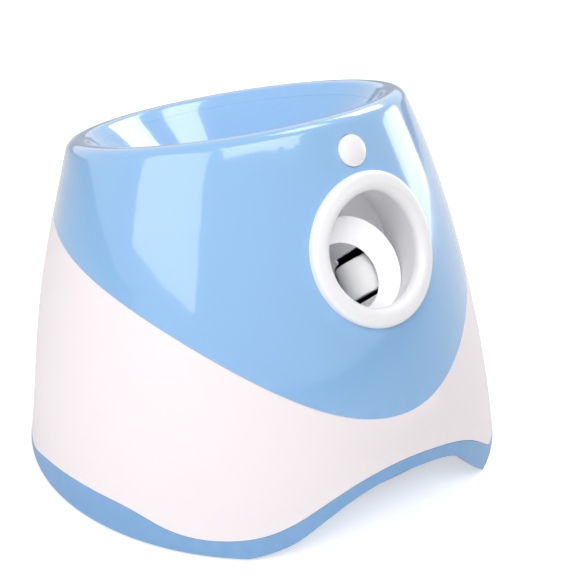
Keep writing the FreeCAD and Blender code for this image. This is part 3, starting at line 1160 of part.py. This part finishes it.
def make_board():
    low = FLOOR_TOP + STANDOFF
    top = low + BOARD_SIZE[2]
    x, y = BOARD_MIDDLE
    board = box(x - BOARD_SIZE[0] / 2, y - BOARD_SIZE[1] / 2, low,
                x + BOARD_SIZE[0] / 2, y + BOARD_SIZE[1] / 2, top)
    screws = []
    for cx, cy in board_corners():
        board = board.cut(rod(SCREW_RADIUS + RUNNING_GAP, low - 1, top + 1, cx, cy))
        screw = pan_screw(BOARD_SIZE[2] + STANDOFF - 2)
        screw.translate(V(cx, cy, top))
        screws.append(screw)
    keep("main_board", board)
    keep("board_screws", Part.makeCompound(screws))
    keep("control_chip", on_board(CONTROL_CHIP))
    keep("motor_driver_chips", Part.makeCompound([on_board(chip) for chip in DRIVER_CHIPS]))
    keep("board_connectors", Part.makeCompound([on_board(header) for header in CONNECTORS]))
    keep("board_capacitors", Part.makeCompound([rod(radius, top, top + height, x + dx, y + dy)
                                                for dx, dy, radius, height in CAPACITORS]))


def on_board(block):
    """A block on the board, from its place there, width, depth and height."""
    dx, dy, width, depth, height = block
    x, y = BOARD_MIDDLE[0] + dx, BOARD_MIDDLE[1] + dy
    top = FLOOR_TOP + STANDOFF + BOARD_SIZE[2]
    return box(x - width / 2, y - depth / 2, top, x + width / 2, y + depth / 2, top + height)


def make_speaker():
    x, y = SPEAKER_AT
    plate = FLOOR_TOP + SPEAKER_FRAME
    frame = tube(SPEAKER_RADIUS - SPEAKER_WALL, SPEAKER_RADIUS, FLOOR_TOP, plate, x, y)
    frame = fuse(frame, rod(SPEAKER_RADIUS - 1, plate - 1, plate + 1, x, y))
    magnet = rod(SPEAKER_MAGNET, plate, plate + SPEAKER_MAGNET_THICK, x, y)
    keep("speaker", fuse(frame, magnet))


def main():
    os.makedirs("parts", exist_ok=True)
    housing_wall = make_housing_wall()
    make_upper_shell(housing_wall)
    make_lower_shell(housing_wall)
    make_base_tray()
    make_feet_and_screws()
    make_port_bezel()
    make_collar()
    make_barrel()
    make_flywheels()
    make_hopper()
    make_breech_cap()
    make_pusher()
    make_pinion()
    make_cradle()
    make_button()
    make_power()
    make_sockets()
    make_board()
    make_speaker()
    for node, shape in NODES.items():
        shape.translate(V(0, -FRAME_Y, 0))
        shape.exportStep("parts/%s.step" % node)
        print(node, len(shape.Solids), round(shape.Volume, 1), shape.isValid())


main()
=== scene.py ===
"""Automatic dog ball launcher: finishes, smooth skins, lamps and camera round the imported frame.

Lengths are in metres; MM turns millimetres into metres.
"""
import json
import math

import bmesh
import bpy
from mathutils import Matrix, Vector

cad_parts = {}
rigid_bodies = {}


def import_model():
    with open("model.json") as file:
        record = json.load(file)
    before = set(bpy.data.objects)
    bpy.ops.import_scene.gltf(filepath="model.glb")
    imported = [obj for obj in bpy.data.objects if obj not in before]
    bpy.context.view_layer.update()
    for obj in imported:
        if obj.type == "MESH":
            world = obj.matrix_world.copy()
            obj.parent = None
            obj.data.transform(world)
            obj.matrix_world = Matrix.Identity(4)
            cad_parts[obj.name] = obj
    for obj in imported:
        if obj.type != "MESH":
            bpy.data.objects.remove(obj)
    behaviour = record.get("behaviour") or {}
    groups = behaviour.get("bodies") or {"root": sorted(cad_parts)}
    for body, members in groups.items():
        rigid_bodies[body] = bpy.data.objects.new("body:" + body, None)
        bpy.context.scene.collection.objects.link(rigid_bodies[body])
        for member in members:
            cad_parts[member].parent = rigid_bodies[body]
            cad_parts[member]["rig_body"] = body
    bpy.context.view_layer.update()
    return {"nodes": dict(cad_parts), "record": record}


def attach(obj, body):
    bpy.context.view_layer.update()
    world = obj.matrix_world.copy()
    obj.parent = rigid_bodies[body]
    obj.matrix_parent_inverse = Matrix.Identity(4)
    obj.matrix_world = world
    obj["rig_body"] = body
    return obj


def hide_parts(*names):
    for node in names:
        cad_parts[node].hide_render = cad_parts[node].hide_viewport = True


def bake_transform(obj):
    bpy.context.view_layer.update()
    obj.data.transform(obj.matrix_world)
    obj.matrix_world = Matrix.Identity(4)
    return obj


MM = 0.001
MERGE = 0.010 * MM          # vertices closer than this are one
SHARP_ANGLE = 32.0          # degrees; an edge between steeper faces stays sharp

# ---------------------------------------------------------------- camera
CAMERA_AZIMUTH = -38.0      # degrees from the front, towards -X
CAMERA_ELEVATION = 27.3
CAMERA_DISTANCE = 857 * MM
CAMERA_TARGET = Vector((0.0, -30.2, 105.0)) * MM
LENS = 89.9
SENSOR = 36.0

# ---------------------------------------------------------------- lamps, world and floor
LAMP_TARGET = (0.0, 0.0, 0.12)
STUDIO_LAMPS = (            # name, place, width, height, watts
    ("left_softbox", (-1.497, -0.092, 0.80), 1.16, 1.12, 8.5),
    ("front_softbox", (-0.45, -0.97, 1.36), 1.40, 0.70, 10.0),
    ("right_panel", (1.49, -0.157, 0.25), 0.60, 0.50, 2.6),
    ("rear_softbox", (1.18, 0.48, 1.13), 0.70, 0.60, 7.0),
    ("top_softbox", (0.51, 0.09, 1.68), 0.70, 0.55, 5.0),
)
PORT_LAMP = ("port_fill", (-0.66, -1.02, 1.10), 0.50, 0.50, 12.0)
WORLD_STRENGTH = (0.53, 0.24)   # from the -X side and from the +X side
PURE_WHITE = (1.0, 1.0, 1.0, 1.0)
FLOOR_RADIUS = 9.0
FLOOR_SIDES = 96
FLOOR_DROP = 0.1 * MM       # keeps the floor clear of the feet's undersides
FLOOR_ROUGHNESS = 0.9
GLOW_REACH = (0.6, 3.0)     # distances from the middle between which the floor's glow rises
GLOW_STRENGTH = (0.55, 0.98)

# ---------------------------------------------------------------- wear, dust and relief
EDGE_POINTINESS = (0.52, 0.62)
EDGE_BREAKS = (0.35, 0.70)
FACES_UP = (0.35, 0.95)     # the normal's Z, from where dust starts to where it lies fully
DUST_PATCHES = (0.40, 0.75)
NOISE_SPAN = (0.30, 0.70)   # where most of a noise's values lie
STAIN_SPAN = (0.45, 0.80)
RUBBED_GAIN = 1.25          # a rubbed edge is paler than the plastic by this factor
RUBBED_LIFT = 0.04          # and by this much more
STAIN_SHADE = 0.72
DUST_ROUGHNESS = 0.5        # added where dust lies
PLASTIC_IOR = 1.5
COAT_ROUGHNESS = 0.04

# ---------------------------------------------------------------- colours, linear
BLUE = (0.262, 0.500, 0.820, 1.0)
BASE_BLUE = (0.215, 0.410, 0.690, 1.0)
SHELL_WHITE = (0.935, 0.865, 0.890, 1.0)
GLOSS_WHITE = (0.930, 0.930, 0.950, 1.0)
INNER_WHITE = (0.740, 0.740, 0.760, 1.0)
TREAD_WHITE = (0.960, 0.960, 0.965, 1.0)
RUBBER_BLACK = (0.022, 0.022, 0.024, 1.0)
PLASTIC_BLACK = (0.016, 0.016, 0.018, 1.0)
ACETAL = (0.780, 0.760, 0.680, 1.0)
ZINC = (0.560, 0.570, 0.590, 1.0)
GROUND_STEEL = (0.680, 0.680, 0.700, 1.0)
SOLDER_MASK = (0.012, 0.120, 0.045, 1.0)
CELL_SLEEVE = (0.035, 0.040, 0.050, 1.0)
DUST = (0.420, 0.400, 0.370, 1.0)
FLOOR_WHITE = (0.800, 0.800, 0.800, 1.0)

PORT_DEPTH = ("barrel_collar", "launch_barrel", "flywheel_tyre", "flywheel_hub")
SKINNED = ("upper_shell", "hopper_funnel", "lower_shell", "base_tray", "port_bezel",
           "barrel_collar", "launch_barrel", "power_button")

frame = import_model()
nodes = frame["nodes"]


# ---------------------------------------------------------------- node helpers
def feed(tree, socket, value):
    """Links another node's output to a socket, or sets the socket's own value."""
    if isinstance(value, bpy.types.NodeSocket):
        tree.links.new(value, socket)
    else:
        socket.default_value = value


def add(tree, kind, inputs=None, **settings):
    """A shader node with its settings, its inputs given as values or as other nodes' outputs."""
    node = tree.nodes.new("ShaderNode" + kind)
    for key, value in settings.items():
        setattr(node, key, value)
    for key, value in (inputs or {}).items():
        feed(tree, node.inputs[key], value)
    return node


def mixed(tree, factor, first, second):
    """The colour between two colours."""
    mix = add(tree, "Mix", data_type="RGBA")
    for index, value in ((0, factor), (6, first), (7, second)):
        feed(tree, mix.inputs[index], value)
    return mix.outputs[2]


def ranged(tree, value, low, high, to_low=0.0, to_high=1.0):
    """The value moved from one range to another, and held inside it."""
    node = add(tree, "MapRange", {"Value": value, "From Min": low, "From Max": high,
                                  "To Min": to_low, "To Max": to_high})
    return node.outputs["Result"]


def maths(tree, operation, first, second):
    """One sum, product or comparison of two values."""
    return add(tree, "Math", {0: first, 1: second}, operation=operation).outputs[0]


def new_group(name, inputs, outputs):
    """An empty node group; inputs are name: (kind, value), outputs are name: kind."""
    tree = bpy.data.node_groups.new(name, "ShaderNodeTree")
    for label, (kind, value) in inputs.items():
        entry = tree.interface.new_socket(label, in_out="INPUT", socket_type="NodeSocket" + kind)
        entry.default_value = value
    for label, kind in outputs.items():
        tree.interface.new_socket(label, in_out="OUTPUT", socket_type="NodeSocket" + kind)
    given = tree.nodes.new("NodeGroupInput").outputs
    result = tree.nodes.new("NodeGroupOutput").inputs
    return tree, given, result


def use(tree, group, **values):
    """Places a node group in a material's tree."""
    node = tree.nodes.new("ShaderNodeGroup")
    node.node_tree = group
    for key, value in values.items():
        feed(tree, node.inputs[key], value)
    return node.outputs


# ---------------------------------------------------------------- shared effects
def make_mould_grain():
    """Fine spark-eroded grain of a mould over its slow polish waves."""
    tree, given, result = new_group(
        "mould_grain", {"Grain": ("Float", 2200.0), "Waves": ("Float", 60.0)},
        {"Height": "Float", "Shade": "Float"})
    place = add(tree, "TexCoord").outputs["Object"]
    grain = add(tree, "TexNoise", {"Vector": place, "Scale": given["Grain"], "Detail": 2.0})
    waves = add(tree, "TexNoise", {"Vector": place, "Scale": given["Waves"], "Detail": 1.0})
    both = add(tree, "Mix", {0: 0.65, 2: grain.outputs["Fac"], 3: waves.outputs["Fac"]})
    tree.links.new(both.outputs[0], result["Height"])
    tree.links.new(waves.outputs["Fac"], result["Shade"])
    return tree


def make_tone_drift():
    """Slow, weak change of tone over a moulding, as its colour flows."""
    tree, given, result = new_group(
        "tone_drift", {"Color": ("Color", (0.5, 0.5, 0.5, 1.0)), "Amount": ("Float", 0.04),
                       "Scale": ("Float", 11.0)},
        {"Color": "Color"})
    place = add(tree, "TexCoord").outputs["Object"]
    cloud = add(tree, "TexNoise", {"Vector": place, "Scale": given["Scale"], "Detail": 3.0,
                                   "Roughness": 0.6})
    centred = maths(tree, "SUBTRACT", cloud.outputs["Fac"], 0.5)
    shift = maths(tree, "MULTIPLY", centred, given["Amount"])
    level = maths(tree, "ADD", shift, 1.0)
    toned = add(tree, "HueSaturation", {"Value": level, "Color": given["Color"]})
    tree.links.new(toned.outputs["Color"], result["Color"])
    return tree


def make_rubbed_edges():
    """Mask of the outward edges, broken up as handling leaves them."""
    tree, given, result = new_group(
        "rubbed_edges", {"Amount": ("Float", 0.5), "Scale": ("Float", 120.0)}, {"Mask": "Float"})
    point = add(tree, "NewGeometry").outputs["Pointiness"]
    sharp = ranged(tree, point, *EDGE_POINTINESS)
    place = add(tree, "TexCoord").outputs["Object"]
    breaks = add(tree, "TexNoise", {"Vector": place, "Scale": given["Scale"], "Detail": 4.0})
    broken = ranged(tree, breaks.outputs["Fac"], *EDGE_BREAKS)
    strength = maths(tree, "MULTIPLY", sharp, broken)
    tree.links.new(maths(tree, "MULTIPLY", strength, given["Amount"]), result["Mask"])
    return tree


def make_settled_dust():
    """Mask of the dust that settles on what faces up."""
    tree, given, result = new_group(
        "settled_dust", {"Amount": ("Float", 0.1), "Scale": ("Float", 70.0)}, {"Mask": "Float"})
    normal = add(tree, "NewGeometry").outputs["Normal"]
    height = add(tree, "SeparateXYZ", {0: normal}).outputs["Z"]
    upward = ranged(tree, height, *FACES_UP)
    place = add(tree, "TexCoord").outputs["Object"]
    specks = add(tree, "TexNoise", {"Vector": place, "Scale": given["Scale"], "Detail": 6.0,
                                    "Roughness": 0.7})
    patches = ranged(tree, specks.outputs["Fac"], *DUST_PATCHES)
    strength = maths(tree, "MULTIPLY", upward, patches)
    tree.links.new(maths(tree, "MULTIPLY", strength, given["Amount"]), result["Mask"])
    return tree


def make_drawn_lines():
    """Fine lines that drawing or grinding leaves along one axis of a metal part."""
    tree, given, result = new_group(
        "drawn_lines", {"Stretch": ("Vector", (40.0, 2500.0, 2500.0))},
        {"Height": "Float", "Shade": "Float"})
    place = add(tree, "TexCoord").outputs["Object"]
    spread = add(tree, "VectorMath", {0: place, 1: given["Stretch"]}, operation="MULTIPLY")
    lines = add(tree, "TexNoise", {"Vector": spread.outputs["Vector"], "Scale": 1.0, "Detail": 3.0})
    tree.links.new(lines.outputs["Fac"], result["Height"])
    stains = add(tree, "TexNoise", {"Vector": place, "Scale": 160.0, "Detail": 4.0})
    tree.links.new(stains.outputs["Fac"], result["Shade"])
    return tree


mould_grain = make_mould_grain()
tone_drift = make_tone_drift()
rubbed_edges = make_rubbed_edges()
settled_dust = make_settled_dust()
drawn_lines = make_drawn_lines()


# ---------------------------------------------------------------- finishes
def new_finish(name):
    """A material with its tree and its Principled shader."""
    material = bpy.data.materials.new(name)
    material.use_nodes = True
    tree = material.node_tree
    return material, tree, tree.nodes["Principled BSDF"]


def bump(tree, shader, height, distance):
    """Relief this deep on the shader's surface."""
    node = add(tree, "Bump", {"Height": height, "Distance": distance, "Strength": 1.0})
    tree.links.new(node.outputs["Normal"], shader.inputs["Normal"])


def plastic(name, colour, gloss, grain_depth=0.02 * MM, grain=2200.0, drift=0.05, rub=0.25,
            dust=0.06, coat=0.0):
    """A moulded plastic; gloss is the lowest and highest roughness."""
    material, tree, shader = new_finish(name)
    toned = use(tree, tone_drift, Color=colour, Amount=drift)["Color"]
    rubbed = use(tree, rubbed_edges, Amount=rub)["Mask"]
    pale = tuple(min(1.0, c * RUBBED_GAIN + RUBBED_LIFT) for c in colour[:3]) + (1.0,)
    worn = mixed(tree, rubbed, toned, pale)
    dusty = use(tree, settled_dust, Amount=dust)["Mask"]
    tree.links.new(mixed(tree, dusty, worn, DUST), shader.inputs["Base Color"])
    relief = use(tree, mould_grain, Grain=grain)
    polish = ranged(tree, relief["Shade"], *NOISE_SPAN, *gloss)
    dull = maths(tree, "MULTIPLY", dusty, DUST_ROUGHNESS)
    tree.links.new(maths(tree, "ADD", polish, dull), shader.inputs["Roughness"])
    bump(tree, shader, relief["Height"], grain_depth)
    shader.inputs["IOR"].default_value = PLASTIC_IOR
    shader.inputs["Coat Weight"].default_value = coat
    shader.inputs["Coat Roughness"].default_value = COAT_ROUGHNESS
    return material


def metal(name, colour, gloss, stretch, depth=0.004 * MM):
    """A drawn or plated metal with fine lines and faint stains."""
    material, tree, shader = new_finish(name)
    lines = use(tree, drawn_lines, Stretch=stretch)
    dull = tuple(c * STAIN_SHADE for c in colour[:3]) + (1.0,)
    tree.links.new(mixed(tree, ranged(tree, lines["Shade"], *STAIN_SPAN), colour, dull),
                   shader.inputs["Base Color"])
    tree.links.new(ranged(tree, lines["Height"], *NOISE_SPAN, *gloss),
                   shader.inputs["Roughness"])
    bump(tree, shader, lines["Height"], depth)
    shader.inputs["Metallic"].default_value = 1.0
    return material


finishes = {
    "blue_gloss": plastic("blue_gloss", BLUE, (0.13, 0.17), grain_depth=0.004 * MM, coat=1.0),
    "white_shell": plastic("white_shell", SHELL_WHITE, (0.36, 0.42), drift=0.03),
    "blue_base": plastic("blue_base", BASE_BLUE, (0.34, 0.42)),
    "white_gloss": plastic("white_gloss", GLOSS_WHITE, (0.20, 0.25), grain_depth=0.004 * MM,
                           drift=0.02),
    "inner_white": plastic("inner_white", INNER_WHITE, (0.34, 0.44), drift=0.03),
    "tread": plastic("tread", TREAD_WHITE, (0.42, 0.52), grain=900.0, drift=0.08),
    "black_rubber": plastic("black_rubber", RUBBER_BLACK, (0.62, 0.75), grain_depth=0.05 * MM,
                            grain=1200.0, dust=0.15),
    "black_plastic": plastic("black_plastic", PLASTIC_BLACK, (0.34, 0.46), dust=0.05),
    "gear_nylon": plastic("gear_nylon", ACETAL, (0.30, 0.38)),
    "steel": metal("steel", ZINC, (0.24, 0.38), (300.0, 300.0, 2600.0)),
    "bright_steel": metal("bright_steel", GROUND_STEEL, (0.12, 0.24), (40.0, 2600.0, 2600.0)),
    "board_green": plastic("board_green", SOLDER_MASK, (0.22, 0.30)),
    "cell_wrap": plastic("cell_wrap", CELL_SLEEVE, (0.16, 0.24)),
}
slot_of = {s["node"]: s["material_slot"] for s in frame["record"]["subparts"]}


def dress_nodes():
    """Gives every CAD node the finish of its slot."""
    for name, node in nodes.items():
        node.data.materials.clear()
        node.data.materials.append(finishes[slot_of[name]])


# ---------------------------------------------------------------- smooth skins
def body_of(node):
    """The body that a CAD node belongs to."""
    return nodes[node]["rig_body"]


def skin(node, rides=True):
    """A copy of a node's surface, joined up and smooth between its real edges."""
    mesh = nodes[node].data.copy()
    work = bmesh.new()
    work.from_mesh(mesh)
    bmesh.ops.remove_doubles(work, verts=work.verts, dist=MERGE)
    work.normal_update()
    for face in work.faces:
        face.smooth = True
    for edge in work.edges:
        sides = edge.link_faces
        edge.smooth = (len(sides) == 2
                       and sides[0].normal.angle(sides[1].normal, 0.0) < math.radians(SHARP_ANGLE))
    work.to_mesh(mesh)
    work.free()
    piece = bpy.data.objects.new(node + "_skin", mesh)
    bpy.context.scene.collection.objects.link(piece)
    if rides:
        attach(piece, body_of(node))
    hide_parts(node)
    return piece


def make_return_spring():
    """The button's spring as a joined-up smooth copy that stays where it is; it does not shorten as
    the button goes in.
    """
    spring = skin("button_spring", rides=False)
    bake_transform(spring)


# ---------------------------------------------------------------- lamps, floor and camera
def aimed(item, place, target):
    """Puts a lamp or the camera in place and turns it to its target."""
    item.location = place
    item.rotation_euler = (Vector(target) - Vector(place)).to_track_quat("-Z", "Y").to_euler()


def softbox(name, place, width, height, power):
    """A rectangular lamp that faces the launcher."""
    lamp = bpy.data.lights.new(name, "AREA")
    lamp.shape = "RECTANGLE"
    lamp.size = width
    lamp.size_y = height
    lamp.energy = power
    item = bpy.data.objects.new(name, lamp)
    bpy.context.scene.collection.objects.link(item)
    aimed(item, place, LAMP_TARGET)
    return item


def make_lamps():
    """The studio's lamps, and one that reaches only what lies deep in the port."""
    for lamp in STUDIO_LAMPS:
        softbox(*lamp)
    deep = bpy.data.collections.new("port_depth")
    for piece in bpy.context.scene.objects:
        if piece.name.startswith(PORT_DEPTH):
            deep.objects.link(piece)
    softbox(*PORT_LAMP).light_linking.receiver_collection = deep


def make_world():
    """Plain studio light, with white behind the object."""
    world = bpy.data.worlds.new("studio")
    bpy.context.scene.world = world
    world.use_nodes = True
    tree = world.node_tree
    path = add(tree, "LightPath").outputs
    seen = maths(tree, "MAXIMUM", path["Is Camera Ray"], path["Is Transmission Ray"])
    seen = maths(tree, "MAXIMUM", seen, path["Is Glossy Ray"])
    back = tree.nodes["Background"]
    back.inputs["Color"].default_value = PURE_WHITE
    across = add(tree, "SeparateXYZ", {0: add(tree, "TexCoord").outputs["Generated"]}).outputs["X"]
    soft = ranged(tree, across, -1.0, 1.0, *WORLD_STRENGTH)
    level = add(tree, "Mix", {0: seen, 2: soft, 3: 1.0}).outputs[0]
    tree.links.new(level, back.inputs["Strength"])


def make_floor():
    """A wide white floor that keeps a pale shadow, and is clear from below."""
    work = bmesh.new()
    bmesh.ops.create_circle(work, cap_ends=True, segments=FLOOR_SIDES, radius=FLOOR_RADIUS)
    bmesh.ops.translate(work, verts=work.verts, vec=(0.0, 0.0, -FLOOR_DROP))
    mesh = bpy.data.meshes.new("floor")
    work.to_mesh(mesh)
    work.free()
    floor = bpy.data.objects.new("floor", mesh)
    bpy.context.scene.collection.objects.link(floor)
    material, tree, shader = new_finish("floor_white")
    shader.inputs["Base Color"].default_value = FLOOR_WHITE
    shader.inputs["Roughness"].default_value = FLOOR_ROUGHNESS
    shader.inputs["Emission Color"].default_value = PURE_WHITE
    seen = add(tree, "LightPath").outputs["Is Camera Ray"]
    place = add(tree, "TexCoord").outputs["Object"]
    far = add(tree, "VectorMath", {0: place}, operation="LENGTH").outputs["Value"]
    glow = ranged(tree, far, *GLOW_REACH, *GLOW_STRENGTH)
    tree.links.new(maths(tree, "MULTIPLY", seen, glow), shader.inputs["Emission Strength"])
    under = add(tree, "NewGeometry").outputs["Backfacing"]
    clear = add(tree, "BsdfTransparent").outputs[0]
    sides = add(tree, "MixShader", {0: under, 1: shader.outputs[0], 2: clear})
    tree.links.new(sides.outputs[0], tree.nodes["Material Output"].inputs["Surface"])
    mesh.materials.append(material)


def make_camera():
    """The camera at its angle, looking at the launcher."""
    data = bpy.data.cameras.new("camera")
    data.lens = LENS
    data.sensor_width = SENSOR
    camera = bpy.data.objects.new("camera", data)
    bpy.context.scene.collection.objects.link(camera)
    turn = math.radians(CAMERA_AZIMUTH)
    rise = math.radians(CAMERA_ELEVATION)
    level = math.cos(rise)
    back = Vector((math.sin(turn) * level, -math.cos(turn) * level, math.sin(rise)))
    aimed(camera, CAMERA_TARGET + back * CAMERA_DISTANCE, CAMERA_TARGET)
    bpy.context.scene.camera = camera


dress_nodes()
for shell in SKINNED:
    skin(shell)
make_return_spring()
make_world()
make_floor()
make_lamps()
make_camera()
bpy.context.scene.view_settings.view_transform = "Standard"
